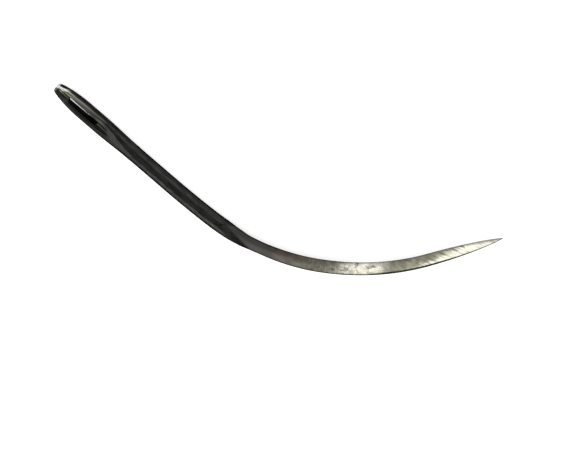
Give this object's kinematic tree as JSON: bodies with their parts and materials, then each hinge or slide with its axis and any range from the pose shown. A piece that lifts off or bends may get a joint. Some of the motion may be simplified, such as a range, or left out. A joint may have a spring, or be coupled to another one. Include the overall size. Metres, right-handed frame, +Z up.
{
  "type": "counterlining needle",
  "caption": "Bent steel upholstery needle with a flattened head, a long eye between thread gutters, a round shank and a three-square ground blade.",
  "frame": {"origin": "under the middle of the needle's box, on the surface that it lies on", "axes": "+X along the straight shank from the head towards the point, +Y towards the inside of the bend, +Z up through the eye"},
  "size_m": [0.0622, 0.0316, 0.0023],
  "materials": {
    "steel": "dark hardened shank and head, bare ground blade"
  },
  "bodies": {
    "root": {"needle": "steel"}
  },
  "joints": []
}
